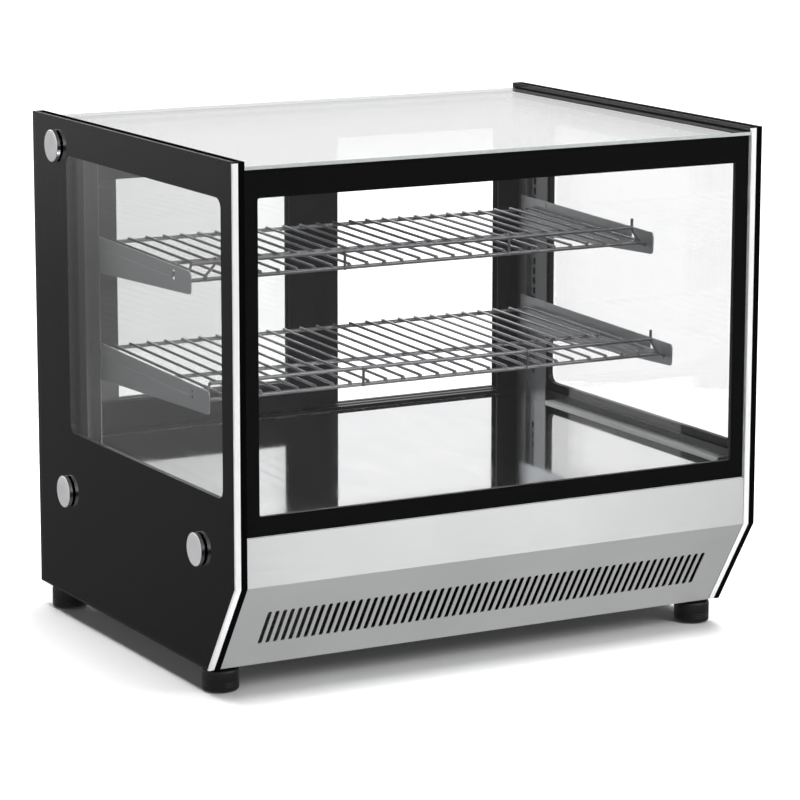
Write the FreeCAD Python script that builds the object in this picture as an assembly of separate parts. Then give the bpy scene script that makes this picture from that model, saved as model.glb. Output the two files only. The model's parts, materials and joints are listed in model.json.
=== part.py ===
"""Counter-top heated display case: glass sides, front and top, two wire shelves, sliding rear doors.

Frame: X to the right, Y to the rear, Z up, in millimetres.  The origin is on the counter, under the
middle of the case.  Inside this script a place is given as x, depth (behind the front edges of the
side panels) and height (above the bottom edges of the side panels).
"""
import FreeCAD, Part
import math
import os
from FreeCAD import Vector

os.makedirs("parts", exist_ok=True)

# ---------------------------------------------------------------- driving dimensions
WIDTH = 710.0               # over the outer faces of the side panels
DEPTH = 564.0               # front edge to rear edge of a side panel
PANEL_HEIGHT = 602.0        # bottom edge to top edge of a side panel
KICK_HEIGHT = 112.0         # where the front edge of a side panel starts to slope back
KICK_SETBACK = 73.0         # how far back the slope has gone at the bottom edge
FOOT_HEIGHT = 30.0
PANEL_THICKNESS = 15.0

PANE = 4.0                  # outer panes
INNER_PANE = 4.0
EDGE_BAND = 3.0             # depth of the trim on the front edges of the side panels
STRIP_WIDTH = 7.0           # bright part of that trim

DECK_HEIGHT = 188.0         # top of the polished deck
SHEET = 1.2                 # folded sheet thickness
FIT = 0.5                   # gap round glass and sheet parts

WINDOW_FRONT = 39.5         # clear window of a side panel
WINDOW_REAR = 471.5
WINDOW_LOW = 209.4
WINDOW_HIGH = 556.4
WINDOW_RADIUS = 12.0
SPACER_WIDTH = 10.0         # width of the sealed unit's spacer bar
COAT = 0.6                  # black border coat on the glass

FRONT_SETBACK = 1.0         # face of the front glass behind the panel edges
FRONT_GLASS_LOW = 170.5
FRONT_GLASS_HIGH = 592.0
FRONT_WINDOW_HALF = 321.5
FRONT_WINDOW_LOW = 193.5
FRONT_WINDOW_HIGH = 559.0

SLOT_COUNT = 61
SLOT_PITCH = 9.95
SLOT_WIDTH = 5.2
SLOT_LENGTH = 54.0
SLOT_CENTRE_DOWN = 71.0     # distance of the slot centres down the slope from the fold

UPRIGHT_FRONT = 442.0
UPRIGHT_REAR = 514.0
UPRIGHT_DEPTH_X = 19.0      # how far the face of an upright stands in from the side panel
UPRIGHT_SHEET = 1.5
UPRIGHT_BACK = 11.0         # depth of the closed box behind the groove
GROOVE_FRONT = 469.0
GROOVE_REAR = 492.0
GROOVE_DEPTH = 5.0
HOOK_SLOT_COUNT = 25
HOOK_SLOT_PITCH = 13.35     # ten of these are the step between the two shelves
HOOK_SLOT_FIRST = 221.75
HOOK_SLOT_HEIGHT = 8.5

SHELF_SLOPE_DEG = 1.5       # shelves fall gently towards the front
BRACKET_SHEET = 1.5
LEDGE_REACH = 12.0
SHELF_LEDGE_HEIGHTS = {"upper": 443.0, "lower": 309.5}
BRACKET_FRONTS = {"upper": 183.0, "lower": 136.0}
THIN_WIRE = 3.6
THICK_WIRE = 5.0
WIRE_PITCH = 24.0
WIRE_COUNT = 27
NOSE_DROP = 4.2             # front wire below the long wires
RAIL_RISE = 20.0            # guard rail above the front wire

FRAME_FRONT = 526.0         # rear frame, front lip
FRAME_REAR = 562.0
FRAME_TOP = 582.0
DOORWAY_HALF = 297.0
DOORWAY_HIGH = 548.0
SILL_TOP = 192.5
LIP = 3.0
DOOR_WIDTH = 361.0
DOOR_THICKNESS = 12.0
DOOR_LOW = 193.6
DOOR_HIGH = 556.0
STILE = 44.0
RAIL = 40.0
INNER_DOOR_FRONT = 531.0    # track nearer to the shelves
OUTER_DOOR_FRONT = 546.0
DOOR_TRAVEL = 266.0
DOOR_CLOSED_EDGE = 331.0    # outer edge of a closed door, from the middle
TRACK_FLOOR = 189.7         # bottom of the sill grooves
GLIDE_GAP = 0.2

CAP_RADIUS = 20.0
CAP_THICKNESS = 7.0
CAP_PLACES = [(494.0, 566.0), (474.0, 134.0), (96.0, 141.0)]     # depth, height
SCREW_RADIUS = 3.0
SCREW_HOLE_RADIUS = 3.3

FOOT_RADIUS = 22.0
FOOT_X = 329.0
FOOT_DEPTHS = {"front": 95.5, "rear": 534.0}
STUD_RADIUS = 4.0
STUD_HOLE_RADIUS = 4.06

REAR_PANEL_DEPTH = 545.0    # rear face of the service panel
KNOB_PLACE = (120.0, 95.0)  # x, height
ROCKER_PLACES = {"power": (190.0, 95.0), "light": (236.0, 95.0)}
ROCKER_SIZE = (13.0, 24.0)
ROCKER_REST_DEG = 8.0       # a rocker stands tipped this far, its upper end out
GLAND_PLACE = (-250.0, 45.0)
FAN_PLACE = (150.0, 395.0)  # x, depth
FAN_RADIUS = 52.0

HALF = WIDTH / 2
INNER = HALF - PANEL_THICKNESS
SLOPE_LENGTH = math.hypot(KICK_HEIGHT, KICK_SETBACK)


# ---------------------------------------------------------------- helpers
def place(x, depth, height):
    """A point in the row frame from x, depth behind the front and height above the panels' foot."""
    return Vector(x, depth - DEPTH / 2, height + FOOT_HEIGHT)


def block(x0, x1, depth0, depth1, height0, height1):
    return Part.makeBox(x1 - x0, depth1 - depth0, height1 - height0, place(x0, depth0, height0))


def rounded_block(x0, x1, depth0, depth1, height0, height1, radius, along):
    """A block whose four edges along one axis ("x", "y" or "z") are rounded."""
    shape = block(x0, x1, depth0, depth1, height0, height1)
    direction = {"x": Vector(1, 0, 0), "y": Vector(0, 1, 0), "z": Vector(0, 0, 1)}[along]
    edges = []
    for edge in shape.Edges:
        run = edge.Vertexes[1].Point - edge.Vertexes[0].Point
        if abs(run.normalize().dot(direction)) > 0.99:
            edges.append(edge)
    return shape.makeFillet(radius, edges)


def side_prism(outline, x0, x1):
    """Extrude an outline of (depth, height) points from x0 to x1."""
    points = [place(x0, depth, height) for depth, height in outline]
    face = Part.Face(Part.makePolygon(points + points[:1]))
    return face.extrude(Vector(x1 - x0, 0, 0))


def rod(start, end, radius):
    """A round bar between two (x, depth, height) places."""
    origin = place(*start)
    run = place(*end) - origin
    return Part.makeCylinder(radius, run.Length, origin, run)


def bent_rod(places, radius):
    """Straight round bars joined by balls, along a list of (x, depth, height) places."""
    pieces = [rod(a, b, radius) for a, b in zip(places, places[1:])]
    pieces += [Part.makeSphere(radius, place(*p)) for p in places]
    return joined(pieces)


def joined(pieces):
    shape = pieces[0].fuse(pieces[1:]) if len(pieces) > 1 else pieces[0]
    return shape.removeSplitter()


def cut_all(shape, tools):
    return shape.cut(tools) if tools else shape


def mirrored(shape):
    return shape.mirror(Vector(0, 0, 0), Vector(1, 0, 0))


def save(name, shape):
    """Write one node; a group of separate solids is a compound."""
    solids = shape.Solids
    bad = [s for s in solids if not s.isValid() or s.Volume <= 0]
    if bad or not solids:
        raise ValueError(name + " has no valid solid")
    body = solids[0] if len(solids) == 1 else Part.makeCompound(solids)
    body.exportStep("parts/" + name + ".step")


def save_group(name, shapes):
    save(name, Part.makeCompound(shapes))


# ---------------------------------------------------------------- side panels
def panel_outline(inset):
    """Side panel outline, its front edge and slope moved inward by inset."""
    fold = KICK_HEIGHT + inset * (SLOPE_LENGTH - KICK_HEIGHT) / KICK_SETBACK
    foot = KICK_SETBACK + inset * SLOPE_LENGTH / KICK_HEIGHT
    return [(inset, fold), (inset, PANEL_HEIGHT), (DEPTH, PANEL_HEIGHT), (DEPTH, 0.0), (foot, 0.0)]


def edge_outline(top):
    """The band along the front edge and slope, EDGE_BAND deep, up to the given height."""
    outer = panel_outline(0.0)
    inner = panel_outline(EDGE_BAND)
    return [outer[0], (0.0, top), (EDGE_BAND, top), inner[0], inner[4], outer[4]]


def window_block(x0, x1, grow, radius):
    return rounded_block(x0, x1, WINDOW_FRONT - grow, WINDOW_REAR + grow,
                         WINDOW_LOW - grow, WINDOW_HIGH + grow, radius, "x")


def screw_holes(x0, x1, radius):
    return [rod((x0, depth, height), (x1, depth, height), radius) for depth, height in CAP_PLACES]


def side_panel_pieces():
    """Panes, backing board and spacer of the right-hand panel; the left one is their mirror image."""
    coat = HALF - PANE - COAT
    pane_seat = INNER + INNER_PANE
    outer = side_prism(panel_outline(EDGE_BAND), HALF - PANE, HALF)
    outer = cut_all(outer, screw_holes(HALF - PANE - 1, HALF + 1, SCREW_HOLE_RADIUS))
    inner = window_block(INNER, pane_seat, SPACER_WIDTH, WINDOW_RADIUS)

    board = side_prism(panel_outline(EDGE_BAND), INNER, HALF - PANE)
    board = cut_all(board, screw_holes(INNER - 1, HALF, SCREW_HOLE_RADIUS))
    board = board.cut(window_block(INNER - 1, coat, SPACER_WIDTH, WINDOW_RADIUS))
    board = board.cut(window_block(coat - 1, HALF, 0.0, WINDOW_RADIUS))

    spacer = window_block(pane_seat, coat, SPACER_WIDTH, WINDOW_RADIUS)
    spacer = spacer.cut(window_block(pane_seat - 1, coat + 1, 0.0, WINDOW_RADIUS))
    return Part.makeCompound([outer, inner]), board, spacer


def make_side_panels():
    panes, board, spacer = side_panel_pieces()
    save("right_panes", panes)
    save("right_backing_board", board)
    save("right_spacer", spacer)
    save("left_panes", mirrored(panes))
    save("left_backing_board", mirrored(board))
    save("left_spacer", mirrored(spacer))


def make_edge_trims():
    """Bright strip and black seal; both panels carry the strip on their left half."""
    strips = []
    seals = []
    for x0 in (-HALF, INNER):
        strip = side_prism(edge_outline(PANEL_HEIGHT - 1.5), x0, x0 + STRIP_WIDTH)
        band = side_prism(edge_outline(PANEL_HEIGHT), x0, x0 + PANEL_THICKNESS)
        strips.append(strip)
        seals.append(band.cut(strip))
    save_group("edge_strips", strips)
    save_group("edge_seals", seals)


def make_caps():
    """Round clamp caps outside the panels, and the screws that hold them."""
    caps = []
    screws = []
    for depth, height in CAP_PLACES:
        cap = rod((HALF, depth, height), (HALF + CAP_THICKNESS, depth, height), CAP_RADIUS)
        rim = [e for e in cap.Edges if e.BoundBox.XLength < 0.01 and e.BoundBox.XMin > HALF + 1]
        cap = cap.makeChamfer(0.8, rim)
        cap = cap.cut(rod((HALF - 1, depth, height), (HALF + 4, depth, height), SCREW_RADIUS))
        caps += [cap, mirrored(cap)]
        if height > DECK_HEIGHT:
            screw = rod((INNER - 6, depth, height), (HALF + 4, depth, height), SCREW_RADIUS)
        else:
            shank = rod((INNER - 8, depth, height), (HALF + 4, depth, height), SCREW_RADIUS)
            screw = joined([shank, hexagon_x(INNER - FIT - SHEET - 5.0, 5.0, depth, height, 10.0)])
        screws += [screw, mirrored(screw)]
    save_group("panel_caps", caps)
    save_group("panel_cap_screws", screws)


def hexagon(centre, axis, across_flats, length):
    """A hexagonal prism from centre along axis, both in the row frame."""
    circle = Part.makeCylinder(across_flats, length, centre, axis)
    radius = across_flats / 2
    side = Vector(0, 0, 1) if abs(axis.z) < 0.5 else Vector(1, 0, 0)
    across = axis.cross(side)
    keep = circle
    for step in range(6):
        angle = math.radians(60 * step)
        normal = side * math.cos(angle) + across * math.sin(angle)
        slab = Part.makeCylinder(3 * across_flats, 2 * across_flats, centre + normal * radius, normal)
        keep = keep.cut(slab)
    return keep


def hexagon_x(x0, length, depth, height, across_flats):
    return hexagon(place(x0, depth, height), Vector(1, 0, 0), across_flats, length)


# ---------------------------------------------------------------- front and top glass
def front_ring(depth0, depth1, outer, inner, radius):
    """A rectangular ring; outer and inner are (half width, low, high)."""
    ring = block(-outer[0], outer[0], depth0, depth1, outer[1], outer[2])
    hole = rounded_block(-inner[0], inner[0], depth0 - 1, depth1 + 1, inner[1], inner[2], radius, "y")
    return ring.cut(hole)


def make_front_glass():
    half = INNER - FIT
    glass = (half, FRONT_GLASS_LOW, FRONT_GLASS_HIGH)
    window = (FRONT_WINDOW_HALF, FRONT_WINDOW_LOW, FRONT_WINDOW_HIGH)
    seat = (FRONT_WINDOW_HALF + SPACER_WIDTH, FRONT_WINDOW_LOW - SPACER_WIDTH,
            FRONT_WINDOW_HIGH + SPACER_WIDTH)
    coat = FRONT_SETBACK + PANE
    bar = coat + COAT
    inside = coat + COAT + 5.4
    outer = block(-half, half, FRONT_SETBACK, coat, FRONT_GLASS_LOW, FRONT_GLASS_HIGH)
    inner = block(-half, half, inside, inside + INNER_PANE, FRONT_GLASS_LOW, FRONT_GLASS_HIGH)
    border = front_ring(coat, bar, glass, window, 3.0)
    seal = front_ring(bar, inside, glass, seat, 2.0)
    save_group("front_panes", [outer, inner])
    save("front_border_seal", joined([border, seal]))
    save("front_spacer", front_ring(bar, inside, seat, window, 2.0).cut(seal))


def make_top_glass():
    half = INNER - FIT
    rear = DEPTH - 6.0
    low = FRONT_GLASS_HIGH
    gap = 6.0
    outer = block(-half, half, FRONT_SETBACK, rear, low, low + PANE)
    inner = block(-half, half, 17.0, rear, low - gap - INNER_PANE, low - gap)
    spacer = block(-half, half, 17.0, rear, low - gap, low)
    spacer = spacer.cut(block(-half + SPACER_WIDTH, half - SPACER_WIDTH, 17.0 + SPACER_WIDTH,
                              rear - SPACER_WIDTH, low - gap - 1, low + 1))
    save_group("top_panes", [outer, inner])
    save("top_spacer", spacer)


# ---------------------------------------------------------------- base
def slope_point(down, out=0.0):
    """(depth, height) on the sloped fascia, a distance down from the fold and out from the face."""
    along = (KICK_SETBACK / SLOPE_LENGTH, -KICK_HEIGHT / SLOPE_LENGTH)
    normal = (-KICK_HEIGHT / SLOPE_LENGTH, -KICK_SETBACK / SLOPE_LENGTH)
    return (FRONT_SETBACK + down * along[0] + out * normal[0],
            KICK_HEIGHT + down * along[1] + out * normal[1])


def vent_slot(x):
    """A round-ended slot cutter through the sloped band."""
    half_run = (SLOT_LENGTH - SLOT_WIDTH) / 2
    ends = []
    for down in (SLOT_CENTRE_DOWN - half_run, SLOT_CENTRE_DOWN + half_run):
        outside = slope_point(down, 4.0)
        inside = slope_point(down, -6.0)
        ends.append(rod((x, *outside), (x, *inside), SLOT_WIDTH / 2))
    outline = [slope_point(SLOT_CENTRE_DOWN - half_run, 4.0), slope_point(SLOT_CENTRE_DOWN + half_run, 4.0),
               slope_point(SLOT_CENTRE_DOWN + half_run, -6.0), slope_point(SLOT_CENTRE_DOWN - half_run, -6.0)]
    middle = side_prism(outline, x - SLOT_WIDTH / 2, x + SLOT_WIDTH / 2)
    return joined([middle] + ends)


def make_fascia():
    """One folded sheet: a flange under the glass, the upright band, the vented slope and a foot flange."""
    half = INNER - FIT
    front = FRONT_SETBACK
    top = FRONT_GLASS_LOW - FIT
    foot = front + KICK_SETBACK
    inner_fold = KICK_HEIGHT + SHEET * (SLOPE_LENGTH - KICK_HEIGHT) / KICK_SETBACK
    inner_foot = foot + SHEET * (SLOPE_LENGTH - KICK_SETBACK) / KICK_HEIGHT
    outline = [(front, KICK_HEIGHT), (front, top), (front + 16.0, top), (front + 16.0, top - SHEET),
               (front + SHEET, top - SHEET), (front + SHEET, inner_fold),
               (inner_foot, SHEET), (foot + 9.0, SHEET), (foot + 9.0, 0.0), (foot, 0.0)]
    sheet = side_prism(outline, -half, half)
    first = -SLOT_PITCH * (SLOT_COUNT - 1) / 2
    cutters = [vent_slot(first + SLOT_PITCH * number) for number in range(SLOT_COUNT)]
    save("front_fascia", sheet.cut(Part.makeCompound(cutters)))


def foot_plate(x, depth0, depth1, height0, height1):
    """A threaded plate over a foot, from the side wall inward."""
    side = 1 if x > 0 else -1
    near = side * (INNER - FIT)
    far = x - side * 22.0
    return block(min(near, far), max(near, far), depth0, depth1, height0, height1)


def make_base_pan():
    """Bottom tray with side walls that follow the slope, and four threaded foot plates."""
    outer = INNER - FIT
    front = FRONT_SETBACK + KICK_SETBACK + 10.5
    rear = REAR_PANEL_DEPTH - 4.0
    top = DECK_HEIGHT - SHEET
    floor = block(-outer, outer, front, rear, 0.0, SHEET)
    wall_outline = [(20.0, 100.0), (20.0, 166.0), (26.0, top), (rear, top), (rear, 0.0), (front, 0.0)]
    pieces = [floor, side_prism(wall_outline, outer - SHEET, outer),
              side_prism(wall_outline, -outer, SHEET - outer)]
    holes = screw_holes(-HALF, HALF, SCREW_HOLE_RADIUS)
    for x in (-FOOT_X, FOOT_X):
        middle = FOOT_DEPTHS["front"]
        pieces.append(foot_plate(x, middle - 6.0, middle + 22.0, SHEET, SHEET + 4.0))
        pieces.append(foot_plate(x, FOOT_DEPTHS["rear"] - 22.0, rear, 0.0, 4.0))
        for depth in FOOT_DEPTHS.values():
            holes.append(rod((x, depth, -5.0), (x, depth, 20.0), STUD_HOLE_RADIUS))
    save("base_pan", cut_all(joined(pieces), holes))


def make_deck():
    """Mirror-polished deck with an air slot row at the front and one at the rear."""
    half = INNER - FIT
    deck = block(-half, half, 17.0, FRAME_FRONT - FIT, DECK_HEIGHT - SHEET, DECK_HEIGHT)
    slots = []
    for number in range(12):
        x = -275.0 + 50.0 * number
        for depth in (20.0, 517.0):
            slots.append(rounded_block(x - 18.0, x + 18.0, depth, depth + 5.0,
                                       DECK_HEIGHT - 3.0, DECK_HEIGHT + 1.0, 2.4, "z"))
    save("deck_plate", cut_all(deck, slots))
    trim = block(INNER - UPRIGHT_DEPTH_X, INNER, 32.0, UPRIGHT_FRONT - FIT, DECK_HEIGHT, DECK_HEIGHT + 3.0)
    trim = trim.cut(block(INNER - UPRIGHT_DEPTH_X + 1.0, INNER - 1.0, 30.0, UPRIGHT_FRONT + 1,
                          DECK_HEIGHT - 1.0, DECK_HEIGHT + 2.0))
    save_group("deck_edge_trims", [trim, mirrored(trim)])


# ---------------------------------------------------------------- rear frame
def make_rear_frame():
    """Two channel jambs, a header with the upper grooves and a sill with the lower grooves."""
    web = DOOR_CLOSED_EDGE + 1.5
    jamb = joined([
        block(DOORWAY_HALF, INNER - FIT, FRAME_FRONT, FRAME_FRONT + LIP, SILL_TOP, DOORWAY_HIGH),
        block(web, INNER - FIT, FRAME_FRONT, FRAME_REAR, SILL_TOP, DOORWAY_HIGH),
        block(DOORWAY_HALF + 12.0, INNER - FIT, FRAME_REAR - 2.0, FRAME_REAR, SILL_TOP, DOORWAY_HIGH)])
    save("rear_jamb_right", jamb)
    save("rear_jamb_left", mirrored(jamb))

    half = INNER - FIT
    header = block(-half, half, FRAME_FRONT, FRAME_REAR, DOORWAY_HIGH, FRAME_TOP)
    sill = block(-half, half, FRAME_FRONT, FRAME_REAR, DECK_HEIGHT, SILL_TOP)
    for front in (INNER_DOOR_FRONT, OUTER_DOOR_FRONT):
        centre = front + DOOR_THICKNESS / 2
        header = header.cut(block(-web, web, front - 1.0, front + DOOR_THICKNESS + 1.0,
                                  DOORWAY_HIGH - 1.0, DOOR_HIGH + 14.0))
        sill = sill.cut(block(-web, web, centre - 3.0, centre + 3.0, TRACK_FLOOR, SILL_TOP + 1.0))
    save("rear_header_track", header)
    save("rear_sill_track", sill)

    stops = []
    stop_length = DOOR_CLOSED_EDGE * 2 - DOOR_WIDTH - DOOR_TRAVEL
    for front, side in ((OUTER_DOOR_FRONT, -1), (INNER_DOOR_FRONT, 1)):
        centre = front + DOOR_THICKNESS / 2
        near = side * (DOOR_CLOSED_EDGE - stop_length + 0.3)
        far = side * web
        stops.append(block(min(near, far), max(near, far), centre - 4.0, centre + 4.0,
                           DOOR_HIGH - 12.0, DOOR_HIGH + 14.0))
    save_group("door_stops", stops)


# ---------------------------------------------------------------- sliding doors
def glide_places(left):
    return [left + 40.0, left + DOOR_WIDTH - 40.0]


def door_glides(left, centre):
    """Nylon skids under a door and guides on top of it, each with a tenon into the frame."""
    glides = []
    for x in glide_places(left):
        skid = block(x - 15.0, x + 15.0, centre - 2.6, centre + 2.6, TRACK_FLOOR + GLIDE_GAP, DOOR_LOW)
        guide = block(x - 15.0, x + 15.0, centre - 5.0, centre + 5.0, DOOR_HIGH, DOOR_HIGH + 6.0)
        low_tenon = block(x - 9.0, x + 9.0, centre - 2.6, centre + 2.6, DOOR_LOW, DOOR_LOW + 9.0)
        high_tenon = block(x - 9.0, x + 9.0, centre - 2.6, centre + 2.6, DOOR_HIGH - 9.0, DOOR_HIGH)
        glides.append(joined([skid, low_tenon]))
        glides.append(joined([guide, high_tenon]))
    return glides


def make_door(side, left, front):
    """A framed double-glazed door: frame, panes, spacer, glides and finger pull."""
    right = left + DOOR_WIDTH
    rear = front + DOOR_THICKNESS
    centre = front + DOOR_THICKNESS / 2
    glass = (left + STILE, right - STILE, DOOR_LOW + RAIL - 6.0, DOOR_HIGH - RAIL)
    frame = block(left, right, front, rear, DOOR_LOW, DOOR_HIGH)
    frame = frame.cut(rounded_block(glass[0], glass[1], front - 1, rear + 1, glass[2], glass[3], 2.0, "y"))
    seat = block(glass[0] - 6.0, glass[1] + 6.0, front + 1.2, rear - 1.2, glass[2] - 6.0, glass[3] + 6.0)
    frame = frame.cut(seat)
    pull_x = right - STILE / 2 if side == "right" else left + STILE / 2
    pull_low = 350.0
    pull_high = 450.0
    pocket = rounded_block(pull_x - 12.0, pull_x + 12.0, rear - 8.0, rear + 1.0, pull_low, pull_high, 8.0, "y")
    frame = frame.cut(pocket)
    glides = door_glides(left, centre)
    save("door_" + side + "_frame", cut_all(frame, glides))
    save_group("door_" + side + "_glides", glides)

    pane_box = (glass[0] - 5.5, glass[1] + 5.5)
    panes = [block(pane_box[0], pane_box[1], depth, depth + 3.0, glass[2] - 5.5, glass[3] + 5.5)
             for depth in (front + 1.3, rear - 4.3)]
    bar = block(pane_box[0], pane_box[1], front + 4.3, rear - 4.3, glass[2] - 5.5, glass[3] + 5.5)
    bar = bar.cut(block(glass[0] + 3.0, glass[1] - 3.0, front, rear, glass[2] + 3.0, glass[3] - 3.0))
    save_group("door_" + side + "_panes", panes)
    save("door_" + side + "_spacer", bar)

    dish = rounded_block(pull_x - 12.0, pull_x + 12.0, rear - 8.0, rear, pull_low, pull_high, 8.0, "y")
    hollow = rounded_block(pull_x - 10.0, pull_x + 10.0, rear - 6.5, rear + 1.0, pull_low + 2.0,
                           pull_high - 2.0, 6.0, "y")
    save("door_" + side + "_pull", dish.cut(hollow))


def make_doors():
    """The left door stands closed; the right one stands slid open over the left one."""
    make_door("left", -DOOR_CLOSED_EDGE, INNER_DOOR_FRONT)
    closed_left = DOOR_CLOSED_EDGE - DOOR_WIDTH
    make_door("right", closed_left - DOOR_TRAVEL, OUTER_DOOR_FRONT)


# ---------------------------------------------------------------- shelf supports
def tilted(shape, ledge):
    """Lean a shelf or bracket forward about its rear support line."""
    pivot = place(0.0, UPRIGHT_FRONT, ledge)
    lean = FreeCAD.Placement(Vector(0, 0, 0), FreeCAD.Rotation(Vector(1, 0, 0), SHELF_SLOPE_DEG), pivot)
    moved = shape.copy()
    moved.Placement = lean.multiply(moved.Placement)
    return moved


def make_uprights():
    """Folded strips: a flat face, a groove with a ladder of hook slots, a box behind the groove."""
    face = INNER - UPRIGHT_DEPTH_X
    sheet = UPRIGHT_SHEET
    back = face + UPRIGHT_BACK
    groove = face + GROOVE_DEPTH
    low = DECK_HEIGHT
    post = joined([
        block(face, face + sheet, UPRIGHT_FRONT, UPRIGHT_REAR, low, FRAME_TOP),
        block(face, face + 9.0, UPRIGHT_REAR - sheet, UPRIGHT_REAR, low, FRAME_TOP),
        block(face, back, GROOVE_FRONT - 7.0, GROOVE_REAR + 6.0, low, FRAME_TOP)])
    post = post.cut(block(face + sheet, back - sheet, GROOVE_FRONT - 5.5, GROOVE_REAR + 4.5, low - 1, FRAME_TOP + 1))
    post = post.fuse(block(face, groove + sheet, GROOVE_FRONT - sheet, GROOVE_REAR + sheet, low, FRAME_TOP))
    slots = [block(face - 1, groove, GROOVE_FRONT, GROOVE_REAR, low - 1, FRAME_TOP + 1)]
    for number in range(HOOK_SLOT_COUNT):
        height = HOOK_SLOT_FIRST + HOOK_SLOT_PITCH * number
        slots.append(block(groove - 1, groove + sheet + 1, 477.5, 483.5, height, height + HOOK_SLOT_HEIGHT))
    depth, height = CAP_PLACES[0]
    foot = block(back - sheet, INNER - 1.0, GROOVE_FRONT, GROOVE_REAR, low, low + 2.0)
    standoff = block(back - sheet, INNER, depth - 9.0, depth + 9.0, height - 9.0, height + 9.0)
    standoff = standoff.cut(rod((back - 2, depth, height), (INNER + 1, depth, height), SCREW_RADIUS + 0.05))
    post = joined([post.cut(slots), foot, standoff])
    save("upright_right", post)
    save("upright_left", mirrored(post))


def bracket_shape(ledge, front):
    """Right-hand shelf bracket: tapered plate, inward ledge, hook tab and the slit along the ledge."""
    face = INNER - UPRIGHT_DEPTH_X
    back = face - BRACKET_SHEET
    top = ledge + 14.5
    rear = 505.0
    outline = [(front, ledge - 13.0), (front, top), (rear, top), (rear, ledge - 31.0),
               (UPRIGHT_FRONT, ledge - 31.0)]
    plate = side_prism(outline, back, face)
    corners = []
    for edge in plate.Edges:
        middle = edge.CenterOfMass
        along_x = edge.BoundBox.XLength > 1.0 and edge.BoundBox.YLength < 0.1
        if along_x and middle.y < place(0, front + 2, 0).y:
            corners.append(edge)
    plate = plate.makeFillet(5.0, corners)
    shelf = block(back - LEDGE_REACH, back, front + 57.0, UPRIGHT_FRONT - 6.0,
                  ledge - BRACKET_SHEET, ledge)
    slit = block(face - 0.6, face + 1, front + 57.0, UPRIGHT_FRONT - 6.0, ledge - 0.5, ledge + 0.5)
    peep = block(back - 1, face + 1, front + 43.0, front + 50.0, ledge - 3.0, ledge + 9.0)
    relief = block(back - 1, face + 1, UPRIGHT_FRONT - 1.4, UPRIGHT_FRONT, ledge + 1.5, top + 1)
    bracket = joined([plate, shelf]).cut([slit, peep, relief])
    hooks = []
    floor_back = face + GROOVE_DEPTH + UPRIGHT_SHEET
    for low in (ledge - 20.5, ledge - 20.5 + 2 * HOOK_SLOT_PITCH):
        hooks.append(block(face - 0.1, floor_back + 2.5, 478.6, 482.4, low, low + 6.0))
        hooks.append(block(floor_back + 0.5, floor_back + 2.5, 478.6, 482.4, low - 3.0, low + 6.0))
    return joined([bracket] + hooks)


def make_brackets():
    for level, ledge in SHELF_LEDGE_HEIGHTS.items():
        bracket = tilted(bracket_shape(ledge, BRACKET_FRONTS[level]), ledge)
        save("bracket_" + level + "_right", bracket)
        save("bracket_" + level + "_left", mirrored(bracket))


# ---------------------------------------------------------------- wire shelves
def make_shelf(level):
    """Welded wire shelf: long wires over cross wires, dropped nose wire and raised guard rail."""
    ledge = SHELF_LEDGE_HEIGHTS[level] + 0.3
    nose = BRACKET_FRONTS[level] + 28.0
    rear = UPRIGHT_FRONT + 36.0
    middle = nose + 0.40 * (rear - nose)
    long_height = ledge + THIN_WIRE / 2
    cross_height = long_height - 0.7 * (THIN_WIRE + THICK_WIRE) / 2
    nose_height = long_height - NOSE_DROP
    rail_height = nose_height + RAIL_RISE
    thin = THIN_WIRE / 2
    thick = THICK_WIRE / 2
    edge = INNER - UPRIGHT_DEPTH_X - BRACKET_SHEET
    half_long = WIRE_PITCH * (WIRE_COUNT - 1) / 2

    wires = []
    for number in range(WIRE_COUNT):
        x = -half_long + WIRE_PITCH * number
        wires.append(bent_rod([(x, rear + 2.5, long_height), (x, nose + 5.0, long_height),
                               (x, nose + 1.5, nose_height + 1.0)], thin))
    short = edge - LEDGE_REACH - 1.5
    for depth in (rear, middle):
        wires.append(rod((-short, depth, cross_height), (short, depth, cross_height), thick))
    reach = edge - 3.6
    wires.append(bent_rod([(-reach, nose - 16.0, nose_height), (-reach, nose, nose_height),
                           (reach, nose, nose_height), (reach, nose - 16.0, nose_height)], thick))
    rail_end = edge - 13.0
    wires.append(rod((-rail_end, nose, rail_height), (rail_end, nose, rail_height), thick))
    for side in (-1, 1):
        wires.append(bent_rod([(side * rail_end, nose, rail_height + 10.0), (side * rail_end, nose, rail_height),
                               (side * reach, nose, nose_height)], thin))
    for x in (-280.0, -109.0, 121.0, 280.0):
        wires.append(rod((x, nose, nose_height), (x, nose, rail_height), thin))
    shelf = wires[0]
    shelf = shelf.fuse(wires[1:])
    save("shelf_" + level, tilted(shelf, SHELF_LEDGE_HEIGHTS[level]))


# ---------------------------------------------------------------- service compartment
def panel_screw_places():
    """(x, height) of the screws round the rear service panel."""
    return [(x, height) for x in (-325.0, -110.0, 110.0, 325.0) for height in (14.0, 172.0)]


def rear_cutters():
    """Holes in the rear service panel: knob, rockers, gland and louvre slots."""
    front = REAR_PANEL_DEPTH - 10.0
    rear = REAR_PANEL_DEPTH + 10.0
    cutters = [rod((x, front, height), (x, rear, height), 1.6) for x, height in panel_screw_places()]
    cutters += [rod((KNOB_PLACE[0], front, KNOB_PLACE[1]), (KNOB_PLACE[0], rear, KNOB_PLACE[1]), 5.0),
                rod((GLAND_PLACE[0], front, GLAND_PLACE[1]), (GLAND_PLACE[0], rear, GLAND_PLACE[1]), 8.0)]
    for x, height in ROCKER_PLACES.values():
        cutters.append(block(x - 10.0, x + 10.0, front, rear, height - 14.0, height + 14.0))
    for number in range(14):
        x = -170.0 + 14.0 * number
        cutters.append(rounded_block(x - 2.5, x + 2.5, front, rear, 60.0, 130.0, 2.4, "y"))
    return cutters


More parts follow.
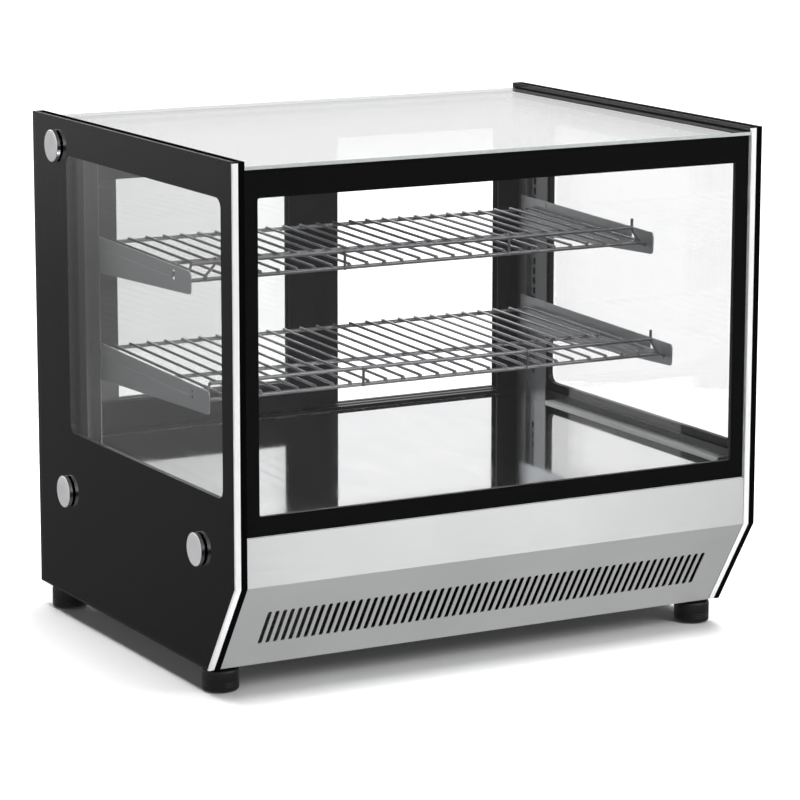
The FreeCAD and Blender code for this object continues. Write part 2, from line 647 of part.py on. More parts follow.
def make_rear_panel():
    half = INNER - FIT
    depth = REAR_PANEL_DEPTH
    sheet = joined([
        block(-half, half, depth - SHEET, depth, 0.0, DECK_HEIGHT),
        block(-half, half, FRAME_FRONT, FRAME_REAR, DECK_HEIGHT - SHEET, DECK_HEIGHT),
        block(-half, half, depth - 3.5, depth, 0.0, SHEET)])
    save("rear_panel", cut_all(sheet, rear_cutters()))
    screws = []
    for x, height in panel_screw_places():
        head = rod((x, depth, height), (x, depth + 2.0, height), 4.0)
        shank = rod((x, depth - 8.0, height), (x, depth, height), 1.5)
        screws.append(joined([head, shank]))
    save_group("rear_panel_screws", screws)


def make_controls():
    """Thermostat with its knob, and two rocker switches."""
    depth = REAR_PANEL_DEPTH
    x, height = KNOB_PLACE
    body = rounded_block(x - 19.0, x + 19.0, depth - SHEET - 32.0, depth - SHEET, height - 16.0,
                         height + 16.0, 3.0, "y")
    shaft = rod((x, depth - SHEET, height), (x, depth + 12.0, height), 3.0)
    save("thermostat_body", joined([body, shaft]))
    knob = Part.makeCone(17.0, 15.0, 13.0, place(x, depth + 2.0, height), Vector(0, 1, 0))
    disc = rod((x, depth + 1.0, height), (x, depth + 2.0, height), 19.0)
    grip = block(x - 3.0, x + 3.0, depth + 10.0, depth + 18.0, height - 14.0, height + 14.0)
    knob = joined([knob, disc, grip])
    knob = knob.cut(rod((x, depth, height), (x, depth + 12.5, height), 3.05))
    save("thermostat_knob", knob)

    housings = []
    for name, (rx, rh) in ROCKER_PLACES.items():
        wide, tall = ROCKER_SIZE
        case = block(rx - 9.8, rx + 9.8, depth - SHEET - 22.0, depth, rh - 13.8, rh + 13.8)
        bezel = rounded_block(rx - 11.5, rx + 11.5, depth, depth + 2.0, rh - 15.5, rh + 15.5, 2.0, "y")
        well = block(rx - wide / 2 - 0.6, rx + wide / 2 + 0.6, depth - 9.0, depth + 3.0,
                     rh - tall / 2 - 0.9, rh + tall / 2 + 0.9)
        pin = rod((rx - 9.0, depth - 1.0, rh), (rx + 9.0, depth - 1.0, rh), 1.2)
        housings.append(joined([case, bezel]).cut(well).fuse(pin))
        end = tall / 2
        outline = [(depth - 3.4, rh - 2.6), (depth - 3.4, rh + 2.6), (depth + 0.2, rh + end),
                   (depth + 3.2, rh + end - 0.6), (depth + 2.2, rh), (depth + 3.2, rh - end + 0.6),
                   (depth + 0.2, rh - end)]
        paddle = side_prism(outline, rx - wide / 2, rx + wide / 2)
        paddle.rotate(place(rx, depth - 1.0, rh), Vector(1, 0, 0), -ROCKER_REST_DEG)
        paddle = paddle.cut(rod((rx - 10.0, depth - 1.0, rh), (rx + 10.0, depth - 1.0, rh), 1.25))
        save(name + "_rocker", paddle)
    save_group("switch_housings", housings)


def make_gland():
    x, height = GLAND_PLACE
    depth = REAR_PANEL_DEPTH
    thread = rod((x, depth - 12.0, height), (x, depth + 6.0, height), 7.9)
    flange = hexagon(place(x, depth, height), Vector(0, 1, 0), 21.0, 6.0)
    dome = Part.makeCone(9.5, 6.5, 11.0, place(x, depth + 6.0, height), Vector(0, 1, 0))
    nut = hexagon(place(x, depth - SHEET - 4.0, height), Vector(0, 1, 0), 21.0, 4.0)
    gland = joined([thread, flange, dome, nut])
    save("cable_gland", gland.cut(rod((x, depth - 13.0, height), (x, depth + 20.0, height), 4.2)))


def heating_element(x0, x1, depth):
    """A hairpin tube heater lying under the deck."""
    height = DECK_HEIGHT - SHEET - 8.0
    radius = 3.2
    gap = 45.0
    path = [(x0, depth, height), (x1, depth, height), (x1, depth + gap, height), (x0, depth + gap, height)]
    hangers = [block(x - 4.0, x + 4.0, depth - 5.0, depth + gap + 5.0, height - 4.5, DECK_HEIGHT - SHEET)
               for x in (x0 + 40.0, x1 - 40.0)]
    return joined([bent_rod(path, radius)] + hangers)


def make_heaters():
    """Two hairpin heaters, hung under the deck, and the terminal block that feeds them."""
    save_group("heating_elements", [heating_element(-290.0, 60.0, 120.0), heating_element(-290.0, 60.0, 330.0)])
    block_shape = block(-300.0, -240.0, 480.0, 500.0, SHEET, SHEET + 18.0)
    ways = [rod((x, 490.0, 12.0), (x, 490.0, 24.0), 2.5) for x in (-290.0, -276.0, -262.0, -248.0)]
    save("terminal_block", cut_all(block_shape, ways))


def make_fan():
    """Air mover under the deck: square housing with a motor, and a bladed impeller on its shaft."""
    x, depth = FAN_PLACE
    low = 110.0
    high = 140.0
    half = FAN_RADIUS + 6.0
    housing = rounded_block(x - half, x + half, depth - half, depth + half, low, high, 8.0, "z")
    housing = housing.cut(rod((x, depth, low - 1), (x, depth, high + 1), FAN_RADIUS))
    motor = rod((x, depth, low), (x, depth, low + 10.0), 18.0)
    arms = [block(x - FAN_RADIUS - 1, x + FAN_RADIUS + 1, depth - 2.5, depth + 2.5, low, low + 3.0),
            block(x - 2.5, x + 2.5, depth - FAN_RADIUS - 1, depth + FAN_RADIUS + 1, low, low + 3.0)]
    shaft = rod((x, depth, low + 9.0), (x, depth, high - 6.0), 2.0)
    posts = [block(x + sx * (half - 10) - 4, x + sx * (half - 10) + 4, depth + sy * (half - 10) - 4,
                   depth + sy * (half - 10) + 4, SHEET, low) for sx in (-1, 1) for sy in (-1, 1)]
    save("fan_housing", joined([housing, motor] + arms + [shaft] + posts))
    hub = rod((x, depth, low + 12.0), (x, depth, high - 4.0), 17.0)
    blades = []
    for number in range(7):
        blade = Part.makeBox(32.0, 1.6, 14.0, Vector(15.0, -0.8, 0.0))
        blade.rotate(Vector(0, 0, 0), Vector(1, 0, 0), 35.0)
        blade.rotate(Vector(0, 0, 0), Vector(0, 0, 1), 360.0 * number / 7)
        blade.translate(place(x, depth, low + 13.0))
        blades.append(blade)
    impeller = joined([hub] + blades)
    save("fan_impeller", impeller.cut(rod((x, depth, low + 5.0), (x, depth, high - 5.5), 2.05)))


def make_lamp():
    """Lamp bar under the top glass, behind the black top border."""
    half = 300.0
    low = 562.0
    high = FRONT_GLASS_HIGH - 6.0 - INNER_PANE
    housing = block(-half, half, 22.0, 52.0, low, high)
    housing = housing.cut(block(-half + 2, half - 2, 24.0, 50.0, low - 1, high - 6.0))
    save("lamp_housing", housing)
    save("lamp_diffuser", rounded_block(-half + 2.2, half - 2.2, 24.2, 49.8, low + 1.0, low + 9.0, 3.0, "x"))


# ---------------------------------------------------------------- feet
def make_feet():
    """Rubber feet moulded on steel studs that screw into the base."""
    for row, depth in FOOT_DEPTHS.items():
        for side, x in (("left", -FOOT_X), ("right", FOOT_X)):
            pad = rod((x, depth, -FOOT_HEIGHT), (x, depth, -3.5), FOOT_RADIUS)
            rims = [e for e in pad.Edges if e.BoundBox.ZLength < 0.01]
            pad = pad.makeFillet(2.0, rims)
            collar = hexagon(place(x, depth, -3.5), Vector(0, 0, 1), 17.0, 3.2)
            stud = rod((x, depth, -3.5), (x, depth, 14.0), STUD_RADIUS)
            save("foot_" + row + "_" + side, joined([pad, collar, stud]))


make_side_panels()
make_edge_trims()
make_caps()
make_front_glass()
make_top_glass()
make_fascia()
make_base_pan()
make_deck()
make_rear_frame()
make_doors()
make_uprights()
make_brackets()
for shelf_level in SHELF_LEDGE_HEIGHTS:
    make_shelf(shelf_level)
make_rear_panel()
make_controls()
make_gland()
make_heaters()
make_fan()
make_lamp()
make_feet()
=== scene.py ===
"""Looks for the heated display case: materials, fine detail, camera and studio.

Everything is in metres, in the row frame: X to the right, Y to the rear, Z up from the counter.
"""

import json
import math

import bmesh
import bpy
from mathutils import Matrix, Vector


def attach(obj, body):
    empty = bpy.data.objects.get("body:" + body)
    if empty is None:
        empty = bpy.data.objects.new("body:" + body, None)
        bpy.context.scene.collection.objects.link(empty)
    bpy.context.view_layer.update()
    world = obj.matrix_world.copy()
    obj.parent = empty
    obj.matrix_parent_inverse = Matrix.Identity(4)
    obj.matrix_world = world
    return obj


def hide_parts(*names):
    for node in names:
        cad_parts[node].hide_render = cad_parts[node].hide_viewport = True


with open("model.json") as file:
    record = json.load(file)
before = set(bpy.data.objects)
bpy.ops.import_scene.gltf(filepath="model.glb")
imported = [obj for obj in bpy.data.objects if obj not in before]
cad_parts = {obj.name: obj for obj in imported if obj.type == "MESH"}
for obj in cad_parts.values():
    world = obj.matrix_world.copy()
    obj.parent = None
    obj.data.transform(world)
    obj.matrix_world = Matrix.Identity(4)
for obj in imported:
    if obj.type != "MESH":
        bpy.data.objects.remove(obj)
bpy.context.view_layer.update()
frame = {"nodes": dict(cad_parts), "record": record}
NODES = frame["nodes"]
RECORD = frame["record"]
MM = 0.001


# ---------------------------------------------------------------- shader helpers
class Shader:
    """A material's node tree with short names for what the recipes below need."""

    def __init__(self, name):
        self.material = bpy.data.materials.new(name)
        self.material.use_nodes = True
        self.tree = self.material.node_tree
        self.surface = self.tree.nodes["Principled BSDF"]
        self.output = self.tree.nodes["Material Output"]
        self.coordinates = self.tree.nodes.new("ShaderNodeTexCoord")

    def node(self, kind, **settings):
        made = self.tree.nodes.new(kind)
        for key, value in settings.items():
            setattr(made, key, value)
        return made

    def link(self, source, target):
        self.tree.links.new(source, target)

    def set(self, **values):
        """Plain values on the Principled node; an underscore stands for a space."""
        for key, value in values.items():
            socket = self.surface.inputs[key.replace("_", " ")]
            socket.default_value = (*value, 1.0) if isinstance(value, tuple) else value

    def noise(self, scale, detail=4.0, stretch=(1.0, 1.0, 1.0)):
        """Noise in object space, scale in features per metre, stretched by stretch."""
        mapping = self.node("ShaderNodeMapping")
        mapping.inputs["Scale"].default_value = stretch
        texture = self.node("ShaderNodeTexNoise")
        texture.inputs["Scale"].default_value = scale
        texture.inputs["Detail"].default_value = detail
        self.link(self.coordinates.outputs["Object"], mapping.inputs["Vector"])
        self.link(mapping.outputs["Vector"], texture.inputs["Vector"])
        return texture.outputs["Fac"]

    def cells(self, scale):
        texture = self.node("ShaderNodeTexVoronoi")
        texture.inputs["Scale"].default_value = scale
        self.link(self.coordinates.outputs["Object"], texture.inputs["Vector"])
        return texture

    def spread(self, value, low, high, start=0.3, end=0.7):
        """Map a 0 to 1 value onto low to high."""
        ranged = self.node("ShaderNodeMapRange")
        for key, number in (("From Min", start), ("From Max", end), ("To Min", low), ("To Max", high)):
            ranged.inputs[key].default_value = number
        self.link(value, ranged.inputs["Value"])
        return ranged.outputs["Result"]

    def blend(self, value, dark, light, start=0.3, end=0.7):
        """Mix two colours by a value."""
        mix = self.node("ShaderNodeMix", data_type="RGBA")
        mix.inputs["A"].default_value = (*dark, 1.0)
        mix.inputs["B"].default_value = (*light, 1.0)
        self.link(self.spread(value, 0.0, 1.0, start, end), mix.inputs["Factor"])
        return mix.outputs["Result"]

    def bump(self, value, strength, distance, edge=0.0005):
        """Fine relief from a value, over edges rounded by the given radius in metres."""
        rounded = self.node("ShaderNodeBevel", samples=3)
        rounded.inputs["Radius"].default_value = edge
        bump = self.node("ShaderNodeBump")
        bump.inputs["Strength"].default_value = strength
        bump.inputs["Distance"].default_value = distance
        self.link(rounded.outputs["Normal"], bump.inputs["Normal"])
        self.link(value, bump.inputs["Height"])
        self.link(bump.outputs["Normal"], self.surface.inputs["Normal"])

    def number(self, operation, first, second):
        """A Math node on two sources, each a socket or a plain number."""
        made = self.node("ShaderNodeMath", operation=operation)
        for socket, source in zip(made.inputs, (first, second)):
            if isinstance(source, (int, float)):
                socket.default_value = source
            else:
                self.link(source, socket)
        return made.outputs[0]

    def axes(self, output):
        """The X, Y and Z of a Texture Coordinate output."""
        split = self.node("ShaderNodeSeparateXYZ")
        self.link(self.coordinates.outputs[output], split.inputs["Vector"])
        return split.outputs

    def drive(self, socket, source):
        self.link(source, self.surface.inputs[socket])


def brushed_metal(name, dark, light, rough, grain, stretch=0.0):
    """Rolled or brushed metal; grain is the stretch of its scratches along each axis."""
    shader = Shader(name)
    shader.set(Metallic=1.0)
    if stretch:
        lengthwise = shader.node("ShaderNodeCombineXYZ")
        for axis, amount in (("X", 1.0), ("Y", 0.02), ("Z", 0.03)):
            lengthwise.inputs[axis].default_value = amount
        shader.drive("Tangent", lengthwise.outputs["Vector"])
        shader.set(Anisotropic=stretch, Anisotropic_Rotation=0.25)
    scratches = shader.noise(900.0, 3.0, grain)
    clouds = shader.noise(5.0, 3.0)
    shader.drive("Base Color", shader.blend(clouds, dark, light))
    shader.drive("Roughness", shader.spread(scratches, rough[0], rough[1]))
    shader.bump(scratches, 0.06, 0.00006)
    return shader.material


def moulded(name, dark, light, rough, pitch=1800.0, relief=0.25, specular=0.5, metallic=0.0):
    """Moulded plastic, rubber or powder coat with a fine grain."""
    shader = Shader(name)
    grain = shader.noise(pitch, 3.0)
    clouds = shader.noise(14.0, 3.0)
    shader.drive("Base Color", shader.blend(clouds, dark, light))
    shader.drive("Roughness", shader.spread(grain, rough[0], rough[1]))
    shader.set(Specular_IOR_Level=specular, Metallic=metallic)
    shader.bump(grain, relief, 0.0001)
    return shader.material


def inside(shader, source, low, high):
    """1 where a coordinate lies between two values, else 0."""
    middle = (low + high) / 2
    offset = shader.number("ABSOLUTE", shader.number("SUBTRACT", source, middle), 0.0)
    return shader.number("LESS_THAN", offset, (high - low) / 2)


def pane_glass(name, tint, edge, face_axis, window=None):
    """Flat clear glass seen without refraction: both faces mirror by Fresnel, edges take a solid tone.

    face_axis is the axis across the pane.  window gives, for a pane with a printed border, the clear
    area as ((axis, low, high), (axis, low, high)); behind the border only the front face mirrors.
    """
    shader = Shader(name)
    facing = shader.node("ShaderNodeNewGeometry").outputs["Backfacing"]
    fresnel = shader.node("ShaderNodeFresnel")
    shader.link(shader.number("ADD", shader.number("MULTIPLY", facing, 1.0 / 1.5 - 1.5), 1.5),
                fresnel.inputs["IOR"])
    share = fresnel.outputs["Fac"]
    if window:
        place = shader.axes("Object")
        clear_area = 1.0
        for axis, low, high in window:
            clear_area = shader.number("MULTIPLY", inside(shader, place[axis], low, high), clear_area)
        both = shader.number("MAXIMUM", clear_area, shader.number("SUBTRACT", 1.0, facing))
        share = shader.number("MULTIPLY", share, both)

    gloss = shader.node("ShaderNodeBsdfAnisotropic")
    shader.link(shader.spread(shader.noise(9.0, 4.0), 0.0, 0.01), gloss.inputs["Roughness"])
    gloss.inputs["Color"].default_value = (1.0, 1.0, 1.0, 1.0)
    clear = shader.node("ShaderNodeBsdfTransparent")
    clear.inputs["Color"].default_value = (*tint, 1.0)
    pane = shader.node("ShaderNodeMixShader")
    shader.link(share, pane.inputs["Fac"])
    shader.link(clear.outputs[0], pane.inputs[1])
    shader.link(gloss.outputs[0], pane.inputs[2])

    grain = shader.noise(300.0, 2.0)
    shader.drive("Base Color", shader.blend(grain, tuple(0.8 * c for c in edge), edge))
    shader.set(Roughness=0.6, Specular_IOR_Level=0.1)
    normal = shader.axes("Normal")[face_axis]
    is_edge = shader.number("LESS_THAN", shader.number("ABSOLUTE", normal, 0.0), 0.5)
    whole = shader.node("ShaderNodeMixShader")
    shader.link(is_edge, whole.inputs["Fac"])
    shader.link(pane.outputs[0], whole.inputs[1])
    shader.link(shader.surface.outputs[0], whole.inputs[2])
    shader.link(whole.outputs[0], shader.output.inputs["Surface"])
    return shader.material


# ---------------------------------------------------------------- materials, by slot
def galvanised_in_painted_shade(name):
    """Zinc-coated sheet with its spangle, its tone darkened well below bare zinc as painted shade."""
    shader = Shader(name)
    shader.set(Metallic=1.0)
    spangle = shader.cells(160.0)
    # Tones far darker than zinc: painted shade, not the sheet's own colour.
    shader.drive("Base Color", shader.blend(spangle.outputs["Distance"], (0.06, 0.062, 0.065),
                                            (0.12, 0.123, 0.126), 0.0, 0.8))
    shader.drive("Roughness", shader.spread(spangle.outputs["Distance"], 0.65, 0.45, 0.0, 0.8))
    return shader.material


def mirror_steel(name):
    """Polished sheet with faint smears and ripples."""
    shader = Shader(name)
    shader.set(Metallic=1.0)
    ripple = shader.noise(7.0, 2.0)
    smears = shader.noise(25.0, 5.0, (1.0, 0.35, 1.0))
    shader.drive("Base Color", shader.blend(smears, (0.8, 0.81, 0.82), (0.87, 0.87, 0.88)))
    shader.drive("Roughness", shader.spread(smears, 0.03, 0.09))
    shader.bump(ripple, 0.02, 0.0004, 0.0001)
    return shader.material


# Where the black print changes, in metres: the boards' inner faces, and the top of the front border, below
# which the inside takes a grey painted reflection.
BOARD_INNER_FACE = 0.3405
LOWER_BORDER_TOP = 0.241


def black_print(name):
    """Black behind glass outside; inside, its own gloss, and a grey lower border that is a painted
    reflection.
    """
    shader = Shader(name)
    smears = shader.noise(18.0, 4.0)
    place = shader.axes("Object")
    across = shader.number("ABSOLUTE", place["X"], 0.0)
    outside = shader.number("GREATER_THAN", across, BOARD_INNER_FACE)
    low = shader.number("LESS_THAN", place["Z"], LOWER_BORDER_TOP)
    # Grey base inside, below the front border's top: a painted reflection of the bright surround at a grazing
    # angle.
    grey = shader.number("MULTIPLY", low, shader.number("SUBTRACT", 1.0, outside))
    shader.drive("Base Color", shader.blend(grey, (0.0022, 0.0014, 0.0024), (0.075, 0.076, 0.08), 0.0, 1.0))
    shader.drive("Roughness", shader.number("ADD", shader.spread(smears, 0.05, 0.1),
                                            shader.number("MULTIPLY", outside, 0.8)))
    shader.drive("Specular IOR Level", shader.spread(outside, 0.5, 0.0, 0.0, 1.0))
    return shader.material


def glowing(name, tint):
    """Translucent cover, softly lit from behind."""
    shader = Shader(name)
    grain = shader.noise(700.0, 2.0)
    shader.drive("Base Color", shader.blend(grain, tuple(0.95 * c for c in tint), tint))
    shader.drive("Roughness", shader.spread(grain, 0.35, 0.5))
    shader.set(Emission_Color=tint, Emission_Strength=0.4)
    return shader.material


def heat_tinted(name):
    """Steel tube browned in bands by its own heat."""
    shader = Shader(name)
    shader.set(Metallic=1.0)
    bands = shader.noise(22.0, 4.0)
    shader.drive("Base Color", shader.blend(bands, (0.16, 0.13, 0.12), (0.38, 0.33, 0.27)))
    shader.drive("Roughness", shader.spread(bands, 0.3, 0.5))
    return shader.material


# Stretch of a metal's scratches along each axis, the tones of cut glass, and the clear areas in metres.
ALONG_X = (0.02, 1.0, 1.0)
ALONG_Y = (1.0, 0.02, 1.0)
ALONG_Z = (1.0, 1.0, 0.02)
EVEN = (1.0, 1.0, 1.0)
GREY_EDGE = (0.5, 0.53, 0.52)
DARK_EDGE = (0.012, 0.014, 0.013)
SIDE_WINDOW = (("Y", -0.2425, 0.1895), ("Z", 0.2394, 0.5864))
FRONT_WINDOW = (("X", -0.3215, 0.3215), ("Z", 0.2235, 0.589))


def make_materials():
    """One procedural material for each material slot of the record."""
    return {
        "clear_glass": pane_glass("clear_glass", (0.985, 0.988, 0.987), GREY_EDGE, "Z"),
        "black_board": black_print("black_board"),
        "black_seal": moulded("black_seal", (0.0008, 0.0004, 0.0009), (0.0014, 0.0009, 0.0015),
                              (0.6, 0.75), pitch=900.0, relief=0.08, specular=0.03),
        "spacer_bar": moulded("spacer_bar", (0.012, 0.012, 0.013), (0.02, 0.02, 0.021), (0.35, 0.5),
                              pitch=900.0, relief=0.1, specular=0.4, metallic=0.5),
        "bright_trim": moulded("bright_trim", (0.93, 0.93, 0.94), (0.97, 0.97, 0.98), (0.4, 0.5),
                               pitch=2500.0, relief=0.03, metallic=0.35),
        "satin_cap": moulded("satin_cap", (0.8, 0.8, 0.82), (0.88, 0.88, 0.9), (0.42, 0.5),
                             pitch=1500.0, relief=0.05, metallic=0.6),
        "screw_steel": brushed_metal("screw_steel", (0.5, 0.5, 0.5), (0.66, 0.66, 0.64), (0.25, 0.45), EVEN),
        "satin_stainless": brushed_metal("satin_stainless", (0.65, 0.66, 0.665), (0.72, 0.725, 0.725),
                                         (0.42, 0.5), ALONG_X, stretch=0.85),
        "mirror_stainless": mirror_steel("mirror_stainless"),
        "sheet_steel": galvanised_in_painted_shade("sheet_steel"),
        "dark_frame": moulded("dark_frame", (0.005, 0.0045, 0.006), (0.009, 0.008, 0.01), (0.34, 0.46),
                              pitch=1400.0, relief=0.12, specular=0.2),
        "slotted_steel": brushed_metal("slotted_steel", (0.23, 0.236, 0.242), (0.33, 0.336, 0.342),
                                       (0.28, 0.42), ALONG_Z),
        "bracket_steel": brushed_metal("bracket_steel", (0.54, 0.56, 0.575), (0.66, 0.685, 0.7),
                                       (0.3, 0.45), ALONG_Y),
        "shelf_wire": brushed_metal("shelf_wire", (0.2, 0.2, 0.21), (0.28, 0.28, 0.29), (0.34, 0.46), EVEN),
        "door_glide": moulded("door_glide", (0.6, 0.6, 0.58), (0.7, 0.7, 0.67), (0.4, 0.5)),
        "black_plastic": moulded("black_plastic", (0.012, 0.012, 0.012), (0.02, 0.02, 0.02), (0.35, 0.55)),
        "stop_rubber": moulded("stop_rubber", (0.01, 0.01, 0.01), (0.016, 0.016, 0.016), (0.6, 0.8)),
        "foot_rubber": moulded("foot_rubber", (0.003, 0.003, 0.004), (0.007, 0.006, 0.007), (0.38, 0.55),
                               pitch=1500.0, relief=0.15, specular=0.35),
        "rocker_red": moulded("rocker_red", (0.5, 0.02, 0.015), (0.6, 0.03, 0.02), (0.15, 0.25),
                              pitch=600.0, relief=0.02),
        "rocker_black": moulded("rocker_black", (0.01, 0.01, 0.01), (0.016, 0.016, 0.016), (0.15, 0.25),
                                pitch=600.0, relief=0.02),
        "heater_tube": heat_tinted("heater_tube"),
        "terminal_white": moulded("terminal_white", (0.7, 0.69, 0.66), (0.8, 0.79, 0.76), (0.4, 0.55)),
        "lamp_diffuser": glowing("lamp_diffuser", (0.9, 0.9, 0.88)),
    }


MATERIALS = make_materials()
side_glass = pane_glass("side_glass", (0.978, 0.978, 0.978), DARK_EDGE, "X", SIDE_WINDOW)
front_glass = pane_glass("front_glass", (0.99, 0.99, 0.99), GREY_EDGE, "Y", FRONT_WINDOW)
door_glass = pane_glass("door_glass", (0.99, 0.992, 0.991), DARK_EDGE, "Y")
GLASS = {"left_panes": side_glass, "right_panes": side_glass, "front_panes": front_glass,
         "door_left_panes": door_glass, "door_right_panes": door_glass}


def dress_cad_nodes():
    """Give every CAD node the procedural material of its slot; each pane has its own glass."""
    for entry in RECORD["subparts"]:
        part = NODES[entry["node"]]
        part.data.materials.clear()
        part.data.materials.append(GLASS.get(entry["node"], MATERIALS[entry["material_slot"]]))


dress_cad_nodes()


# ---------------------------------------------------------------- mesh tools
HALF_DEPTH = 282.0
FEET_HEIGHT = 30.0


def spot(x, depth, height):
    """A point in metres from x, depth behind the front and height above the panels' foot, in mm."""
    return Vector((x, depth - HALF_DEPTH, height + FEET_HEIGHT)) * MM


def turned_about(pivot, degrees):
    """A turn about the X direction through a point."""
    turn = Matrix.Rotation(math.radians(degrees), 4, "X")
    return Matrix.Translation(pivot) @ turn @ Matrix.Translation(-pivot)


def eased(path, radius, steps=5):
    """Round the inner corners of a path of points, as a bent wire is."""
    smooth = [path[0]]
    for before, corner, after in zip(path, path[1:], path[2:]):
        into = (before - corner)
        out = (after - corner)
        reach = min(radius, 0.45 * into.length, 0.45 * out.length)
        start = corner + into.normalized() * reach
        end = corner + out.normalized() * reach
        for step in range(steps + 1):
            t = step / steps
            smooth.append(start * (1 - t) ** 2 + corner * 2 * t * (1 - t) + end * t * t)
    return smooth + [path[-1]]


class Build:
    """A mesh in the making: turned, swept and extruded shapes in one bmesh."""

    def __init__(self):
        self.mesh = bmesh.new()

    def ring(self, centre, normal, radius, sides, side=None):
        """A ring of vertices round a normal; returns the ring and the side vector used."""
        normal = normal.normalized()
        if side is None:
            side = Vector((0, 0, 1)) if abs(normal.z) < 0.9 else Vector((1, 0, 0))
        side = (side - normal * side.dot(normal)).normalized()
        across = normal.cross(side)
        verts = []
        for number in range(sides):
            angle = 2 * math.pi * number / sides
            offset = side * math.cos(angle) + across * math.sin(angle)
            verts.append(self.mesh.verts.new(centre + offset * radius))
        return verts, side

    def skin(self, rings, closed=False):
        """Quads between rings of equal size, with end caps unless the row of rings is closed."""
        pairs = list(zip(rings, rings[1:]))
        if closed:
            pairs.append((rings[-1], rings[0]))
        for a, b in pairs:
            count = len(a)
            for k in range(count):
                self.mesh.faces.new((a[k], a[(k + 1) % count], b[(k + 1) % count], b[k]))
        if not closed:
            self.mesh.faces.new(list(reversed(rings[0])))
            self.mesh.faces.new(rings[-1])

    def wire(self, path, radius, sides=8, closed=False):
        """Sweep a circle along a path of points."""
        rings = []
        side = None
        count = len(path)
        for k, point in enumerate(path):
            before = path[k - 1] if k or closed else point
            after = path[(k + 1) % count] if k + 1 < count or closed else point
            verts, side = self.ring(point, after - before, radius, sides, side)
            rings.append(verts)
        self.skin(rings, closed)

    def turned(self, base, axis, profile, sides=40):
        """Turn a profile of (radius, distance along the axis) in mm about an axis through base."""
        axis = axis.normalized()
        rings = [self.ring(base + axis * along * MM, axis, max(radius, 0.01) * MM, sides)[0]
                 for radius, along in profile]
        self.skin(rings)

    def bead(self, centre, radius, axis, squash=0.6):
        """A small rounded lump, such as a weld, flattened along an axis."""
        profile = [(math.sin(math.pi * k / 6) * radius, -math.cos(math.pi * k / 6) * radius * squash)
                   for k in range(7)]
        self.turned(centre, axis, profile, 8)

    def plate(self, outline, thickness):
        """Extrude a closed outline of points by a vector."""
        near = [self.mesh.verts.new(point) for point in outline]
        far = [self.mesh.verts.new(point + thickness) for point in outline]
        self.skin([near, far])

    def finish(self, name, slot, body, nodes=(), place=None, sharp=35.0, bevel=0.0):
        """Turn the mesh into a piece of the object, in its material and on its body."""
        bmesh.ops.recalc_face_normals(self.mesh, faces=self.mesh.faces)
        if bevel:
            edges = [e for e in self.mesh.edges if e.calc_face_angle(0.0) > math.radians(40.0)]
            bmesh.ops.bevel(self.mesh, geom=edges, offset=bevel * MM, segments=3, affect="EDGES", profile=0.5)
        if place:
            self.mesh.transform(place)
        mesh = bpy.data.meshes.new(name)
        self.mesh.to_mesh(mesh)
        self.mesh.free()
        mesh.shade_smooth()
        mesh.set_sharp_from_angle(angle=math.radians(sharp))
        mesh.materials.append(MATERIALS[slot])
        piece = bpy.data.objects.new(name, mesh)
        bpy.context.scene.collection.objects.link(piece)
        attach(piece, body)
        if nodes:
            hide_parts(*nodes)
        return piece


# ---------------------------------------------------------------- wire shelves
LEDGES = {"upper": 443.0, "lower": 309.5}
BRACKET_FRONTS = {"upper": 183.0, "lower": 136.0}
SHELF_LEAN = 1.5
REAR_SUPPORT = 442.0
REAR_CROSS_WIRE = 478.0
LONG_WIRES = 27
LONG_WIRE_PITCH = 24.0
CROSS_WIRE_END = 306.0
NOSE_END = 315.9
RAIL_END = 306.5
RAIL_RISE = 20.0
STANCHIONS = (-103.0, 126.0)
THIN = 1.8 * MM
THICK = 2.5 * MM


def make_shelf(level):
    """Welded shelf: long wires, two cross wires, a nose wire and a guard rail on bent hooks."""
    upward = Vector((0, 0, 1))
    ledge = LEDGES[level]
    nose = BRACKET_FRONTS[level] + 28.0
    middle = nose + 0.40 * (REAR_CROSS_WIRE - nose)
    top = ledge + 0.3 + 1.8
    cross = top - 3.0
    low = top - 4.2
    rail = low + RAIL_RISE
    build = Build()
    for number in range(LONG_WIRES):
        x = LONG_WIRE_PITCH * (number - (LONG_WIRES - 1) // 2)
        build.wire([spot(x, REAR_CROSS_WIRE + 2.5, top), spot(x, nose - 1.0, top)], THIN)
        for depth in (REAR_CROSS_WIRE, middle):
            build.bead(spot(x, depth, top - 1.6), 3.0, upward, 0.75)
        build.bead(spot(x, nose, top - 1.9), 2.9, upward, 0.8)
    for depth in (REAR_CROSS_WIRE, middle):
        build.wire([spot(-CROSS_WIRE_END, depth, cross), spot(CROSS_WIRE_END, depth, cross)], THICK, 12)
    front = [spot(-NOSE_END, nose - 16.0, low), spot(-NOSE_END, nose, low), spot(NOSE_END, nose, low),
             spot(NOSE_END, nose - 16.0, low)]
    build.wire(eased(front, 8 * MM), THICK, 12)
    build.wire([spot(-RAIL_END, nose, rail), spot(RAIL_END, nose, rail)], THICK, 12)
    hooks = ((-RAIL_END, rail, -NOSE_END), (-275.0, rail + 6.0, -290.0), (RAIL_END, rail + 11.0, NOSE_END))
    for upper_x, tip, lower_x in hooks:
        path = [spot(upper_x, nose + 1.0, tip), spot(upper_x, nose + 1.0, rail - 3.0),
                spot(lower_x, nose - 1.0, low + 3.0), spot(lower_x, nose - 8.0, low)]
        build.wire(eased(path, 7 * MM), THIN)
    for x in STANCHIONS:
        build.wire([spot(x, nose - 2.0, low - 1.0), spot(x, nose - 1.5, rail + 1.0)], THIN)
        for height in (low, rail):
            build.bead(spot(x, nose - 1.5, height), 2.9, upward, 1.0)
    lean = turned_about(spot(0.0, REAR_SUPPORT, ledge), SHELF_LEAN)
    build.finish("wire_shelf_" + level, "shelf_wire", level + "_shelf", ["shelf_" + level], lean, 50.0)


for shelf_level in LEDGES:
    make_shelf(shelf_level)


# ---------------------------------------------------------------- feet
FOOT_X = 329.0
FOOT_DEPTHS = {"front": 95.5, "rear": 534.0}


